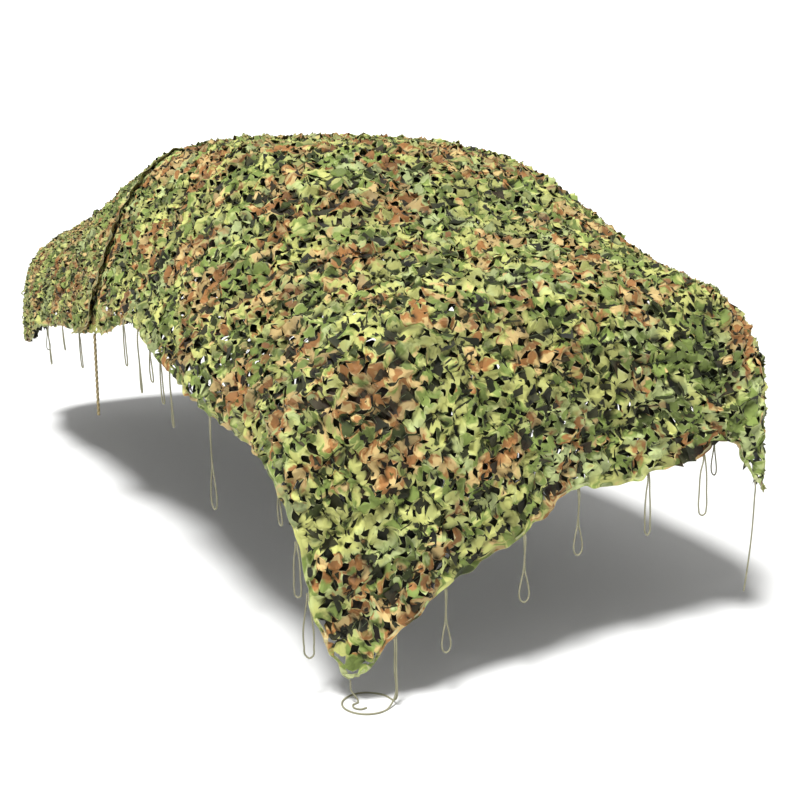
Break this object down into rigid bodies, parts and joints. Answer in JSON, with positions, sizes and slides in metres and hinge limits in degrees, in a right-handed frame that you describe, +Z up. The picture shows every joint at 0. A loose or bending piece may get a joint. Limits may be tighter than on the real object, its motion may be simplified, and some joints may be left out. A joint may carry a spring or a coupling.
{
  "type": "camouflage net cover",
  "caption": "Leafy camouflage net cover, hanging hollow in the long stepped shape that it is fitted over, with lapped panels, plain hems and cord ties.",
  "frame": {"origin": "where the underside of the net bears on what holds it up, at the middle of its top", "axes": "+X to the right of the covered shape, +Y towards its front, +Z up"},
  "size_m": [1.8696, 4.3839, 1.5652],
  "materials": {
    "main_net": "printed woodland colours, slight sheen",
    "front_panel": "printed woodland colours, slight sheen",
    "twisted_cord": "matt twisted cord",
    "tie_cord": "matt cord"
  },
  "bodies": {
    "root": {"main_net": "main_net", "front_panel": "front_panel", "lap_cord": "twisted_cord", "tie_corner": "tie_cord", "tie_tip": "tie_cord", "tie_rear_1": "tie_cord", "tie_rear_2": "tie_cord", "tie_rear_3": "tie_cord", "tie_rear_4": "tie_cord", "tie_rear_5": "tie_cord", "tie_rear_6": "tie_cord", "tie_left_1": "tie_cord", "tie_left_2": "tie_cord", "tie_left_3": "tie_cord", "tie_left_4": "tie_cord", "tie_left_5": "tie_cord", "tie_left_6": "tie_cord", "tie_left_7": "tie_cord", "tie_left_8": "tie_cord", "tie_left_9": "tie_cord", "tie_right_1": "tie_cord", "tie_right_2": "tie_cord", "tie_right_3": "tie_cord", "tie_right_4": "tie_cord", "tie_front_left_1": "tie_cord", "tie_front_left_2": "tie_cord", "tie_front_left_3": "tie_cord", "tie_front_right_1": "tie_cord", "tie_front_right_2": "tie_cord", "tie_front_1": "tie_cord", "tie_front_2": "tie_cord", "tie_front_3": "tie_cord"}
  },
  "joints": []
}
